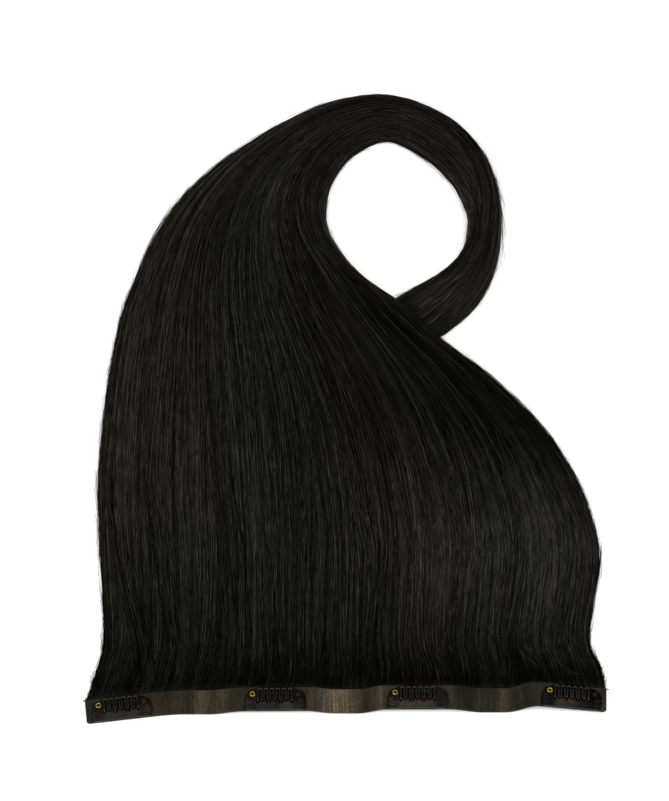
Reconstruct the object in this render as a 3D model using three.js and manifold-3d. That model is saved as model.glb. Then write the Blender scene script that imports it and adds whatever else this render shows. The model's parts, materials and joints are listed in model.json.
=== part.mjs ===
// A clip-in hair extension: one wide weft with four snap clips, laid flat with its hair swept
// round into a loop whose tips pass under the fall. Millimetres, +Z up.
// X runs along the weft band, +Y from the band towards the hair, and Z = 0 is what it lies on.
// The origin is at the bottom of the whole piece, in the middle of its length and width.

import * as THREE from "three";
import { mergeVertices } from "three/addons/utils/BufferGeometryUtils.js";
import Module from "manifold-3d";

const wasm = await Module();
wasm.setup();

// Weft band: a thin polyurethane strip.
const BAND_LENGTH = 240;
const BAND_HEIGHT = 12;
const BAND_THICKNESS = 1;
const BAND_WAVE = 3.9; // how far the strip lifts off the surface at its highest clip
const BAND_SWAY = 5.5; // how far its left end swings away from the hair
const BAND_REST = 10; // length of each flat stretch that lies on the surface

// Snap clip, stamped from sheet steel.
const CLIP_LENGTH = 28;
const CLIP_END_MARGIN = 2.3; // from the band's end to the outer clip's end
const CLIP_OVERHANG = 0.1; // of the clip's bar past the band's lower edge
const SHEET = 0.5;
const CREASE_RISE = 0.4; // each clip is bent up at its middle by this much
const BAR_HEIGHT = 3.2;
const SIDE_HEIGHT = 9.8; // of the plates at both ends, which hold the sewing holes
const UNDERLAY_REACH = 0.35; // how far the lower layer shows past the upper one at the ends
const ARCH_HEIGHT = 11.9; // top of the strip behind the prongs, over the bar's lower edge
const ARCH_FALL = 0.9; // from the middle of that strip to its ends
const ARCH_WIDTH = 2;
const SEWING_HOLE_RADIUS = 0.52;

// Comb of hairpin prongs.
const PRONG_COUNT = 6;
const PRONG_GAP = 0.52;
const WIRE_WIDTH = 0.62;
const COMB_WIDTH = 16.2;
const COMB_HEIGHT = 10.8; // the round tips, over the bar's lower edge
const PRONG_REACH = 6.1; // from the foot of a prong's loop to its round tip
const PRONG_BOW = 0.5; // how far the prongs arch clear of the strip behind them
const STEM_WIDTH = 0.8;
const CUP_WIDTH = 3.3;
const CUP_HEIGHT = 1.55;
const CUP_DIP = 0.9;

// Brass eyelet.
const EYELET_BORE_RADIUS = 0.62;
const EYELET_WALL = 0.16;
const EYELET_FLANGE_RADIUS = 1.38;
const EYELET_FLANGE_HEIGHT = 0.36;
const EYELET_PLACE = 0.33; // across the left plate, as a share of its width from the comb
const EYELET_HEIGHT = 7.7; // over the bar's lower edge

// Hair.
const HAIR_REACH = 341; // from the band to the top of the loop
const HAIR_THICKNESS = 9;
const HAIR_EDGE = 0.8;
const TAIL_LIFT = 8.5; // the fall rises by this much where the tips pass under it
const LOCK_DEPTH = 0.8;

// Clearances.
const SEAT_GAP = 0.3; // between a piece and the one that it rests on
const RUNNING_GAP = 0.4; // between the comb's feet and the bar
const COMB_SIDE_GAP = 0.4; // between the comb and the end plates
const EYELET_GAP = 0.3;

const SPAN_STEPS = 6;
const LOOP_STEPS = 2; // for each section in the loop, where the sections before it have one
const LOOP_FROM = 8;
const ARCH_STEPS = 8;
const ARC_STEPS = 6;
const HOLE_SIDES = 10;
const EYELET_SIDES = 14;

// How the band lies under each clip: the clip's place as a share of the band's half length (the
// outer clips go by their end margin), the sway of the strip at the clip's left and right end as
// a share of BAND_SWAY, and its lift off the surface there as a share of BAND_WAVE.
const CLIP_SEATS = [
  { at: -1, leftSway: -0.98, rightSway: -0.28, leftLift: 0, rightLift: 0 },
  { at: -0.274, leftSway: 0.05, rightSway: 0.08, leftLift: 0.46, rightLift: 0.46 },
  { at: 0.274, leftSway: 0.14, rightSway: 0.16, leftLift: 0.68, rightLift: 0.68 },
  { at: 1, leftSway: 0.34, rightSway: 0.08, leftLift: 1, rightLift: 0.06 },
];
const REST_SWAY = [-0.08, 0, 0.1]; // the flat stretches between neighbouring clips

// Outline of the plate at each end of a clip, from the bar's lower edge up: out is a share of
// the plate's width from the comb, up a share of SIDE_HEIGHT.
const LEFT_PLATE = [
  { out: 0.745, up: 0 },
  { out: 0.94, up: 0.1 },
  { out: 1, up: 0.234 },
  { out: 0.936, up: 0.37 },
  { out: 0.873, up: 0.654 },
  { out: 0.73, up: 0.85 },
  { out: 0.555, up: 0.964 },
  { out: 0.3, up: 1 },
  { out: 0, up: 1 },
];
const RIGHT_PLATE = [
  { out: 0.69, up: 0 },
  { out: 0.89, up: 0.1 },
  { out: 0.91, up: 0.27 },
  { out: 1, up: 0.4 },
  { out: 0.98, up: 0.56 },
  { out: 0.92, up: 0.75 },
  { out: 0.76, up: 0.91 },
  { out: 0.5, up: 0.99 },
  { out: 0, up: 1.02 },
];

// Sewing holes on both plates, in the same shares. Side is -1 for the left plate.
const SEWING_HOLES = [
  { side: -1, out: 0.68, up: 0.52 },
  { side: -1, out: 0.555, up: 0.23 },
  { side: 1, out: 0.4, up: 0.775 },
  { side: 1, out: 0.6, up: 0.46 },
  { side: 1, out: 0.43, up: 0.17 },
];

// Sections across the hair, from the roots to the tips. Left and right are the two sides of the
// flow: X in shares of the band's half length, Y in shares of HAIR_REACH. Thick is a share of
// HAIR_THICKNESS, and lift, at the right side, a share of TAIL_LIFT.
const HAIR_ROWS = [
  { leftX: -1.0, leftY: 0.018, rightX: 1.0, rightY: 0.018, thick: 0.1, lift: 0 },
  { leftX: -0.985, leftY: 0.027, rightX: 0.994, rightY: 0.027, thick: 0.13, lift: 0 },
  { leftX: -0.964, leftY: 0.05, rightX: 0.983, rightY: 0.05, thick: 0.26, lift: 0 },
  { leftX: -0.942, leftY: 0.087, rightX: 0.946, rightY: 0.087, thick: 0.38, lift: 0 },
  { leftX: -0.956, leftY: 0.159, rightX: 0.971, rightY: 0.149, thick: 0.5, lift: 0 },
  { leftX: -0.978, leftY: 0.251, rightX: 1.003, rightY: 0.215, thick: 0.58, lift: 0 },
  { leftX: -0.993, leftY: 0.333, rightX: 0.98, rightY: 0.282, thick: 0.62, lift: 0 },
  { leftX: -0.985, leftY: 0.423, rightX: 0.915, rightY: 0.349, thick: 0.66, lift: 0 },
  { leftX: -0.966, leftY: 0.513, rightX: 0.8, rightY: 0.423, thick: 0.7, lift: 0.1 },
  { leftX: -0.927, leftY: 0.608, rightX: 0.613, rightY: 0.492, thick: 0.75, lift: 0.65 },
  { leftX: -0.869, leftY: 0.685, rightX: 0.42, rightY: 0.548, thick: 0.8, lift: 1 },
  { leftX: -0.788, leftY: 0.762, rightX: 0.234, rightY: 0.616, thick: 0.85, lift: 1 },
  { leftX: -0.676, leftY: 0.826, rightX: 0.073, rightY: 0.667, thick: 0.9, lift: 0.7 },
  { leftX: -0.569, leftY: 0.869, rightX: -0.029, rightY: 0.723, thick: 0.95, lift: 0.25 },
  { leftX: -0.438, leftY: 0.91, rightX: -0.08, rightY: 0.777, thick: 1, lift: 0 },
  { leftX: -0.268, leftY: 0.953, rightX: -0.06, rightY: 0.84, thick: 1, lift: 0 },
  { leftX: -0.062, leftY: 0.99, rightX: 0.034, rightY: 0.894, thick: 1, lift: 0 },
  { leftX: 0.185, leftY: 1.002, rightX: 0.18, rightY: 0.921, thick: 1, lift: 0 },
  { leftX: 0.403, leftY: 0.972, rightX: 0.331, rightY: 0.892, thick: 1, lift: 0 },
  { leftX: 0.558, leftY: 0.917, rightX: 0.441, rightY: 0.85, thick: 1.05, lift: 0 },
  { leftX: 0.631, leftY: 0.859, rightX: 0.503, rightY: 0.803, thick: 1.15, lift: 0 },
  { leftX: 0.66, leftY: 0.791, rightX: 0.515, rightY: 0.764, thick: 1.2, lift: 0 },
  { leftX: 0.635, leftY: 0.705, rightX: 0.487, rightY: 0.72, thick: 1.15, lift: 0 },
  { leftX: 0.577, leftY: 0.649, rightX: 0.401, rightY: 0.685, thick: 1, lift: 0 },
  { leftX: 0.514, leftY: 0.616, rightX: 0.292, rightY: 0.66, thick: 0.85, lift: 0 },
  { leftX: 0.409, leftY: 0.582, rightX: 0.178, rightY: 0.633, thick: 0.68, lift: 0 },
  { leftX: 0.292, leftY: 0.554, rightX: 0.073, rightY: 0.597, thick: 0.5, lift: 0 },
  { leftX: 0.197, leftY: 0.536, rightX: 0.007, rightY: 0.569, thick: 0.25, lift: 0 },
];
const LOCK_EDGES = [0, 0.1, 0.22, 0.36, 0.48, 0.62, 0.73, 0.88, 1]; // across the flow
const LIFT_STARTS = 0.45; // across the flow, where the fall begins to rise over the tips
const LIFT_ENDS = 0.72;
const ROOT_FADE = 3; // rows over which the hair lets go of the band's waves
const LOCKS_FROM = 4; // row by which the locks have their full depth
const LENS_POWER = 0.45; // how full the hair's cross-section is

const bandHalf = BAND_LENGTH / 2;
const clipHalf = CLIP_LENGTH / 2;
const inner = COMB_WIDTH / 2 + COMB_SIDE_GAP;
const sideWidth = clipHalf - inner;
const footLine = BAR_HEIGHT + RUNNING_GAP;
const hingeLine = BAR_HEIGHT + RUNNING_GAP / 2;
const sheetMiddle = 1.5 * SHEET; // height of the upper layer's middle over the clip's underside

const steel = new THREE.MeshStandardMaterial({ color: 0x241f1e, roughness: 0.4, metalness: 0.7 });
const brass = new THREE.MeshStandardMaterial({ color: 0xc9a13a, roughness: 0.3, metalness: 1 });
const urethane = new THREE.MeshStandardMaterial({ color: 0x3a3529, roughness: 0.45 });
const hairBlack = new THREE.MeshStandardMaterial({ color: 0x100e0d, roughness: 0.5 });

const smooth = (low, high, value) => THREE.MathUtils.smoothstep(value, low, high);

function solidOf(geometry) {
  const bare = new THREE.BufferGeometry();
  bare.setAttribute("position", geometry.getAttribute("position"));
  if (geometry.index) {
    bare.setIndex(geometry.index);
  }
  const merged = mergeVertices(bare, 1e-4);
  return new wasm.Manifold(
    new wasm.Mesh({
      numProp: 3,
      vertProperties: new Float32Array(merged.attributes.position.array),
      triVerts: new Uint32Array(merged.index.array),
    }),
  );
}

function geometryOf(solid) {
  const mesh = solid.getMesh();
  const geometry = new THREE.BufferGeometry();
  geometry.setAttribute("position", new THREE.BufferAttribute(mesh.vertProperties, 3));
  geometry.setIndex(new THREE.BufferAttribute(mesh.triVerts, 1));
  geometry.computeVertexNormals();
  return geometry;
}

function plate(shape, bottom, thickness, curveSegments = ARC_STEPS) {
  const flat = new THREE.ExtrudeGeometry(shape, {
    depth: thickness,
    bevelEnabled: false,
    curveSegments,
  });
  return flat.translate(0, 0, bottom);
}

function polygon(points) {
  return new THREE.Shape(points.map(([x, y]) => new THREE.Vector2(x, y)));
}

// Rings of points, joined in order and closed by a strip of quads at each end. Every ring holds
// its top row and then its bottom row, with the same number of points in each.
function sweptSolid(rings) {
  const count = rings[0].length;
  const half = count / 2;
  const around = (i) => (i < half ? i : count - 1 - (i - half));
  const order = Array.from({ length: count }, (_, i) => around(i));
  const positions = rings.flat().flatMap((p) => [p.x, p.y, p.z]);
  const faces = [];
  const quad = (a, b, c, d) => faces.push(a, b, c, a, c, d);
  for (let r = 0; r + 1 < rings.length; r += 1) {
    for (let i = 0; i < count; i += 1) {
      const here = order[i];
      const next = order[(i + 1) % count];
      const base = r * count;
      quad(base + here, base + next, base + count + next, base + count + here);
    }
  }
  const last = (rings.length - 1) * count;
  for (let i = 0; i + 1 < half; i += 1) {
    quad(i, half + i, half + i + 1, i + 1);
    quad(last + i, last + i + 1, last + half + i + 1, last + half + i);
  }
  const geometry = new THREE.BufferGeometry();
  geometry.setAttribute("position", new THREE.Float32BufferAttribute(positions, 3));
  geometry.setIndex(faces);
  geometry.computeVertexNormals();
  return geometry;
}

// The band's path: knots along X with sway, lift and their slopes.
function clipCentre(seat) {
  const outermost = bandHalf - CLIP_END_MARGIN - clipHalf;
  return Math.abs(seat.at) === 1 ? seat.at * outermost : seat.at * bandHalf;
}

function seatEnds(seat) {
  const centre = clipCentre(seat);
  const half = clipHalf + UNDERLAY_REACH + SEAT_GAP;
  return {
    left: seat.at === -1 ? -bandHalf : centre - half,
    right: seat.at === 1 ? bandHalf : centre + half,
  };
}

function bandKnots() {
  const knots = [];
  CLIP_SEATS.forEach((seat, i) => {
    const { left, right } = seatEnds(seat);
    const run = right - left;
    const swaySlope = ((seat.rightSway - seat.leftSway) * BAND_SWAY) / run;
    const liftSlope = ((seat.rightLift - seat.leftLift) * BAND_WAVE) / run;
    knots.push({
      x: left, sway: seat.leftSway * BAND_SWAY, lift: seat.leftLift * BAND_WAVE,
      swaySlope, liftSlope, straight: true,
    });
    knots.push({
      x: right, sway: seat.rightSway * BAND_SWAY, lift: seat.rightLift * BAND_WAVE,
      swaySlope, liftSlope, straight: false,
    });
    if (i < REST_SWAY.length) {
      const middle = (clipCentre(seat) + clipCentre(CLIP_SEATS[i + 1])) / 2;
      const level = { sway: REST_SWAY[i] * BAND_SWAY, lift: 0, swaySlope: 0, liftSlope: 0 };
      knots.push({ ...level, x: middle - BAND_REST / 2, straight: true });
      knots.push({ ...level, x: middle + BAND_REST / 2, straight: false });
    }
  });
  return knots;
}

const KNOTS = bandKnots();

function hermite(from, to, slopeFrom, slopeTo, run, t) {
  const t2 = t * t;
  const t3 = t2 * t;
  const value = (2 * t3 - 3 * t2 + 1) * from + (t3 - 2 * t2 + t) * run * slopeFrom
    + (3 * t2 - 2 * t3) * to + (t3 - t2) * run * slopeTo;
  const slope = ((6 * t2 - 6 * t) * (from - to)) / run
    + (3 * t2 - 4 * t + 1) * slopeFrom + (3 * t2 - 2 * t) * slopeTo;
  return { value, slope };
}

// The strip's own axes at x: centre of its underside, along, towards the hair, and outwards.
function bandFrame(x) {
  let i = KNOTS.findIndex((knot) => knot.x > x) - 1;
  if (i < 0) {
    i = KNOTS.length - 2;
  }
  const [a, b] = [KNOTS[i], KNOTS[i + 1]];
  const run = b.x - a.x;
  const t = (x - a.x) / run;
  const sway = hermite(a.sway, b.sway, a.swaySlope, b.swaySlope, run, t);
  const lift = hermite(a.lift, b.lift, a.liftSlope, b.liftSlope, run, t);
  const along = new THREE.Vector3(1, sway.slope, lift.slope).normalize();
  const across = new THREE.Vector3(-sway.slope, 1, 0).normalize();
  const out = new THREE.Vector3().crossVectors(along, across);
  return { centre: new THREE.Vector3(x, sway.value, lift.value), along, across, out };
}

function bandPoint(x, across, out) {
  const frame = bandFrame(x);
  return frame.centre.addScaledVector(frame.across, across).addScaledVector(frame.out, out);
}

function weftBand() {
  const stations = [];
  for (let i = 0; i + 1 < KNOTS.length; i += 1) {
    const steps = KNOTS[i].straight ? 1 : SPAN_STEPS;
    for (let s = 0; s < steps; s += 1) {
      stations.push(THREE.MathUtils.lerp(KNOTS[i].x, KNOTS[i + 1].x, s / steps));
    }
  }
  stations.push(bandHalf);
  const side = BAND_HEIGHT / 2;
  return sweptSolid(
    stations.map((x) => [
      bandPoint(x, side, BAND_THICKNESS),
      bandPoint(x, -side, BAND_THICKNESS),
      bandPoint(x, side, 0),
      bandPoint(x, -side, 0),
    ]),
  );
}

// The hair's flow: a place between two sections, read off the rows by a smooth curve.
function rowValue(name, t) {
  const last = HAIR_ROWS.length - 1;
  const i = Math.min(Math.floor(t), last - 1);
  const row = (n) => HAIR_ROWS[THREE.MathUtils.clamp(n, 0, last)][name];
  const f = t - i;
  const before = (row(i + 1) - row(i - 1)) / 2;
  const after = (row(i + 2) - row(i)) / 2;
  return hermite(row(i), row(i + 1), before, after, 1, f).value;
}

function hairPoint(t, u, share) {
  const left = [rowValue("leftX", t) * bandHalf, rowValue("leftY", t) * HAIR_REACH];
  const right = [rowValue("rightX", t) * bandHalf, rowValue("rightY", t) * HAIR_REACH];
  const lift = Math.max(rowValue("lift", t), 0) * TAIL_LIFT * smooth(LIFT_STARTS, LIFT_ENDS, u);
  const point = new THREE.Vector3(
    THREE.MathUtils.lerp(left[0], right[0], u),
    THREE.MathUtils.lerp(left[1], right[1], u),
    lift,
  );
  if (t < ROOT_FADE) {
    const x = THREE.MathUtils.lerp(-bandHalf, bandHalf, u);
    const root = bandPoint(x, BAND_HEIGHT / 2 + SEAT_GAP, 0);
    const start = HAIR_ROWS[0].leftY * HAIR_REACH;
    const hold = 1 - smooth(0, ROOT_FADE, t);
    point.add(root.sub(new THREE.Vector3(x, start, 0)).multiplyScalar(hold));
  }
  const thickness = rowValue("thick", t) * HAIR_THICKNESS;
  const lens = (4 * u * (1 - u)) ** LENS_POWER;
  const full = HAIR_EDGE + Math.max(thickness - HAIR_EDGE, 0) * lens;
  return point.add(new THREE.Vector3(0, 0, share * full));
}

function hairLocks() {
  const crossings = [];
  LOCK_EDGES.slice(0, -1).forEach((edge, i) => {
    const width = LOCK_EDGES[i + 1] - edge;
    crossings.push({ u: edge, ridge: 0 });
    crossings.push({ u: edge + width / 3, ridge: 1 });
    crossings.push({ u: edge + (2 * width) / 3, ridge: 1 });
  });
  crossings.push({ u: 1, ridge: 0 });
  const lastRow = HAIR_ROWS.length - 1;
  const ring = (t) => {
    const fade = smooth(0, LOCKS_FROM, t) * smooth(0, LOCKS_FROM, lastRow - t);
    const top = crossings.map(({ u, ridge }) => {
      const point = hairPoint(t, u, 1);
      return point.setZ(point.z + ridge * fade * LOCK_DEPTH);
    });
    const bottom = crossings.map(({ u }) => hairPoint(t, u, 0));
    return [...top, ...bottom];
  };
  const rings = [];
  for (let row = 0; row < lastRow; row += 1) {
    const steps = row < LOOP_FROM ? 1 : LOOP_STEPS;
    for (let s = 0; s < steps; s += 1) {
      rings.push(ring(row + s / steps));
    }
  }
  rings.push(ring(lastRow));
  return sweptSolid(rings);
}

// Clip pieces, each in the clip's own axes: X along the bar from its middle, Y from the bar's
// lower edge to the prong tips, Z from the band outwards.
function creased(solid) {
  const slope = CREASE_RISE / clipHalf;
  const bent = (side) => {
    const half = solid.trimByPlane([side, 0, 0], 0);
    const shear = [1, 0, -side * slope, 0, 0, 1, 0, 0, 0, 0, 1, 0, 0, 0, CREASE_RISE, 1];
    return half.transform(shear);
  };
  return bent(1).add(bent(-1));
}

// Layout of the comb: prong tips and the bends between them, from left to right.
const prongPitch = (COMB_WIDTH + PRONG_GAP) / PRONG_COUNT;
const prongWidth = prongPitch - PRONG_GAP;
const tipRadius = (prongWidth - WIRE_WIDTH) / 2;
const bendRadius = (PRONG_GAP + WIRE_WIDTH) / 2;
const tipLine = COMB_HEIGHT - tipRadius - WIRE_WIDTH / 2;
const bendLine = COMB_HEIGHT - PRONG_REACH + bendRadius + WIRE_WIDTH / 2;
const prongX = (i) => (i - (PRONG_COUNT - 1) / 2) * prongPitch;
const bends = Array.from({ length: PRONG_COUNT - 1 }, (_, i) => ({
  x: prongX(i) + prongPitch / 2,
  stem: i % 2 === 1, // every second bend runs down to the bar, and the others sit over a cup
}));

// A place on one of the two end plates, and the outline of a plate, bottom to top.
function onPlate(side, { out, up }) {
  return [side * (inner + out * sideWidth), up * SIDE_HEIGHT];
}

function plateOutline(side, rows, reach) {
  const middle = [inner + sideWidth / 3, SIDE_HEIGHT / 2];
  return rows.map((row) => {
    const [x, y] = onPlate(side, row);
    const away = new THREE.Vector2(x - side * middle[0], y - middle[1]).setLength(reach);
    return [x + away.x * Math.min(row.out * 3, 1), Math.max(y + away.y, 0)];
  });
}

function archEdge(drop) {
  return Array.from({ length: ARCH_STEPS + 1 }, (_, i) => {
    const across = 1 - (2 * i) / ARCH_STEPS;
    return [inner * across, ARCH_HEIGHT - drop - ARCH_FALL * across * across];
  });
}

function cup(x) {
  const half = CUP_WIDTH / 2;
  const top = BAR_HEIGHT + CUP_HEIGHT;
  const lip = half * 0.8;
  const shape = new THREE.Shape();
  shape.moveTo(x - half, BAR_HEIGHT - SHEET);
  shape.lineTo(x + half, BAR_HEIGHT - SHEET);
  shape.lineTo(x + half, top);
  shape.lineTo(x + lip, top);
  shape.quadraticCurveTo(x, top - 2 * CUP_DIP, x - lip, top);
  shape.lineTo(x - half, top);
  shape.closePath();
  return solidOf(plate(shape, SHEET, SHEET));
}

const eyeletX = -(inner + EYELET_PLACE * sideWidth);
const eyeletHoleRadius = EYELET_BORE_RADIUS + EYELET_WALL + EYELET_GAP;

function clipFrame() {
  const upper = polygon([
    ...plateOutline(1, RIGHT_PLATE, 0),
    [inner, BAR_HEIGHT],
    [-inner, BAR_HEIGHT],
    ...plateOutline(-1, LEFT_PLATE, 0).reverse(),
  ]);
  const lower = polygon([
    ...plateOutline(1, RIGHT_PLATE, UNDERLAY_REACH).slice(0, -1),
    ...archEdge(0),
    ...plateOutline(-1, LEFT_PLATE, UNDERLAY_REACH).slice(0, -1).reverse(),
  ]);
  const window = polygon([
    [-inner, -SHEET],
    [inner, -SHEET],
    ...archEdge(ARCH_WIDTH),
  ]);
  let frame = solidOf(plate(lower, 0, SHEET)).subtract(solidOf(plate(window, -SHEET, 3 * SHEET)));
  frame = frame.add(solidOf(plate(upper, SHEET, SHEET)));
  bends.filter((bend) => !bend.stem).forEach((bend) => {
    frame = frame.add(cup(bend.x));
  });
  const holes = SEWING_HOLES.map((row) => {
    const [x, y] = onPlate(row.side, row);
    return { x, y, radius: SEWING_HOLE_RADIUS };
  });
  holes.push({ x: eyeletX, y: EYELET_HEIGHT, radius: eyeletHoleRadius });
  holes.forEach(({ x, y, radius }) => {
    const drill = new THREE.CylinderGeometry(radius, radius, 6 * SHEET, HOLE_SIDES);
    frame = frame.subtract(solidOf(drill.rotateX(Math.PI / 2).translate(x, y, SHEET)));
  });
  return geometryOf(creased(frame));
}

// The comb is one wire-wide ribbon that runs up and down through every prong. Its outline follows
// the upper side of the ribbon from left to right and comes back along the lower side.
function combOutline() {
  const half = WIRE_WIDTH / 2;
  const points = [];
  const add = (x, y) => points.push([x, y]);
  const leg = (x, up) => {
    const heights = [1 / 3, 2 / 3].map((f) => THREE.MathUtils.lerp(bendLine, tipLine, f));
    (up ? heights : heights.reverse()).forEach((y) => add(x, y));
  };
  const arc = (x, y, radius, from, to, steps) => {
    for (let s = 0; s <= steps; s += 1) {
      const angle = THREE.MathUtils.lerp(from, to, s / steps);
      add(x + radius * Math.cos(angle), y + radius * Math.sin(angle));
    }
  };
  const outside = tipRadius + half;
  add(prongX(0) - outside, footLine);
  for (let i = 0; i < PRONG_COUNT; i += 1) {
    leg(prongX(i) - outside, true);
    arc(prongX(i), tipLine, outside, Math.PI, 0, ARC_STEPS);
    leg(prongX(i) + outside, false);
    if (i < PRONG_COUNT - 1) {
      arc(bends[i].x, bendLine, bendRadius - half, Math.PI, 2 * Math.PI, 2);
    }
  }
  add(prongX(PRONG_COUNT - 1) + outside, footLine);
  const inside = tipRadius - half;
  add(prongX(PRONG_COUNT - 1) + inside, footLine);
  for (let i = PRONG_COUNT - 1; i >= 0; i -= 1) {
    leg(prongX(i) + inside, true);
    arc(prongX(i), tipLine, inside, 0, Math.PI, ARC_STEPS - 2);
    leg(prongX(i) - inside, false);
    if (i > 0) {
      const bend = bends[i - 1];
      const radius = bendRadius + half;
      const open = bend.stem ? Math.acos(Math.min(STEM_WIDTH / 2 / radius, 1)) : Math.PI / 2;
      arc(bend.x, bendLine, radius, 2 * Math.PI, 2 * Math.PI - open, 2);
      if (bend.stem) {
        add(bend.x + STEM_WIDTH / 2, footLine);
        add(bend.x - STEM_WIDTH / 2, footLine);
      }
      const start = bend.stem ? Math.PI + open : 1.5 * Math.PI;
      arc(bend.x, bendLine, radius, start, Math.PI, 2);
    }
  }
  add(prongX(0) - inside, footLine);
  return points.filter(([x, y], i) => {
    const [px, py] = points[(i + points.length - 1) % points.length];
    return Math.hypot(x - px, y - py) > 1e-3;
  });
}

function clipComb() {
  const ribbon = plate(polygon(combOutline()), 0, SHEET);
  const position = ribbon.getAttribute("position");
  for (let i = 0; i < position.count; i += 1) {
    const y = position.getY(i);
    const rise = smooth(footLine, tipLine - tipRadius, y);
    const droop = smooth(tipLine, COMB_HEIGHT, y);
    position.setZ(i, position.getZ(i) + SHEET + PRONG_BOW * (rise - droop / 3));
  }
  return geometryOf(creased(solidOf(ribbon)));
}

function clipEyelet() {
  const outer = EYELET_BORE_RADIUS + EYELET_WALL;
  const creaseHere = CREASE_RISE * (1 - Math.abs(eyeletX) / clipHalf);
  const seat = 2 * SHEET + creaseHere + SEAT_GAP;
  const profile = [
    [EYELET_BORE_RADIUS, creaseHere],
    [outer, creaseHere],
    [outer, seat],
    [EYELET_FLANGE_RADIUS, seat],
    [EYELET_FLANGE_RADIUS - 0.04, seat + EYELET_FLANGE_HEIGHT / 2],
    [EYELET_FLANGE_RADIUS - 0.3, seat + EYELET_FLANGE_HEIGHT],
    [outer + 0.1, seat + EYELET_FLANGE_HEIGHT],
    [EYELET_BORE_RADIUS, seat + EYELET_FLANGE_HEIGHT / 3],
    [EYELET_BORE_RADIUS, creaseHere],
  ];
  const ring = new THREE.LatheGeometry(
    profile.map(([r, z]) => new THREE.Vector2(r, z)),
    EYELET_SIDES,
  );
  return geometryOf(solidOf(ring.rotateX(Math.PI / 2).translate(eyeletX, EYELET_HEIGHT, 0)));
}

function named(name, geometry, material) {
  const mesh = new THREE.Mesh(geometry, material);
  mesh.name = name;
  return mesh;
}

// A clip sits on the band's straight stretch. Its comb turns about the line along the bar's top.
function snapClip(number, seat, frameShape, combShape, eyeletShape) {
  const centre = clipCentre(seat);
  const lower = -BAND_HEIGHT / 2 - CLIP_OVERHANG;
  const { along, across, out } = bandFrame(centre);
  const clip = new THREE.Group();
  clip.name = `clip_${number}`;
  clip.position.copy(bandPoint(centre, lower, BAND_THICKNESS + SEAT_GAP));
  clip.setRotationFromMatrix(new THREE.Matrix4().makeBasis(along, across, out));
  const comb = new THREE.Group();
  comb.position.set(0, hingeLine, sheetMiddle + CREASE_RISE / 2);
  comb.name = `hinge_${number}`;
  const teeth = named(`clip_${number}_comb`, combShape, steel);
  teeth.position.copy(comb.position).negate();
  comb.add(teeth);
  clip.add(named(`clip_${number}_frame`, frameShape, steel));
  clip.add(comb);
  clip.add(named(`clip_${number}_eyelet`, eyeletShape, brass));
  return clip;
}

const extension = new THREE.Group();
extension.name = "clip_in_hair_extension";
extension.add(named("weft_band", weftBand(), urethane));
extension.add(named("hair", hairLocks(), hairBlack));
const frameShape = clipFrame();
const combShape = clipComb();
const eyeletShape = clipEyelet();
CLIP_SEATS.forEach((seat, i) => {
  extension.add(snapClip(i + 1, seat, frameShape, combShape, eyeletShape));
});
const middle = new THREE.Box3().setFromObject(extension, true).getCenter(new THREE.Vector3());
extension.position.set(-middle.x, -middle.y, 0);

export default extension;
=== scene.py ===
"""Looks for the clip-in hair extension: hair, weft band, snap clips, eyelets and stitches.

Sizes are in millimetres, in the part's own frame, and become metres where a mesh is made.
The camera's distance, the lights and the floor's size are in metres.
"""

import json
import math

import bmesh
import bpy
import numpy as np
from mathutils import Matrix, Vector


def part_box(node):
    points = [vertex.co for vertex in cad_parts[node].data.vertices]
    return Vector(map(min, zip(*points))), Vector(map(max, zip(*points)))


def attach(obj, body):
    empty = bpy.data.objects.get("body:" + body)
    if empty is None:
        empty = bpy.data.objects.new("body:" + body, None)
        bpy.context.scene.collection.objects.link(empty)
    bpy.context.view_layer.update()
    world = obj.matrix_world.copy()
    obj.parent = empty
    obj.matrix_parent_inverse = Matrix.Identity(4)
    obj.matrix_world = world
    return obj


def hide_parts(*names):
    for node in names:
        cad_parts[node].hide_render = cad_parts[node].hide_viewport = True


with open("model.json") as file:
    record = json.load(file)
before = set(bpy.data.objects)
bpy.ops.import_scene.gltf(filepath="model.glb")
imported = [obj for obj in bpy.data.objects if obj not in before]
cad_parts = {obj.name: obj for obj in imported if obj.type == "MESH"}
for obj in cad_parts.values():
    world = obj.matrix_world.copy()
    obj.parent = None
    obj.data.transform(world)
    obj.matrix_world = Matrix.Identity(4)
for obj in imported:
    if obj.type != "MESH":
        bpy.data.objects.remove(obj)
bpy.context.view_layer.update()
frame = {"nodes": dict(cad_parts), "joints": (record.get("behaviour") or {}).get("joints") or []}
MM = 0.001

# Camera: where it is aimed, how far off, how high and through which lens.
CAMERA_TARGET = Vector((-5.2, -4.4, 0.0)) * MM
CAMERA_DISTANCE = 1.466
CAMERA_ELEVATION = math.radians(60)
CAMERA_LENS = 134.8
SENSOR = 36.0
FLOOR_DROP = 0.4  # how far the floor lies under the part, so that the two don't share a plane

# Weft band.
BAND_LENGTH = 240.0
BAND_HEIGHT = 12.0
BAND_THICKNESS = 1.0
BAND_WAVE = 3.9
BAND_SWAY = 5.5
BAND_REST = 10.0
BAND_CORNER = 0.9  # how much is cut off each corner of the strip
BAND_ROUND = 0.3

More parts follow.
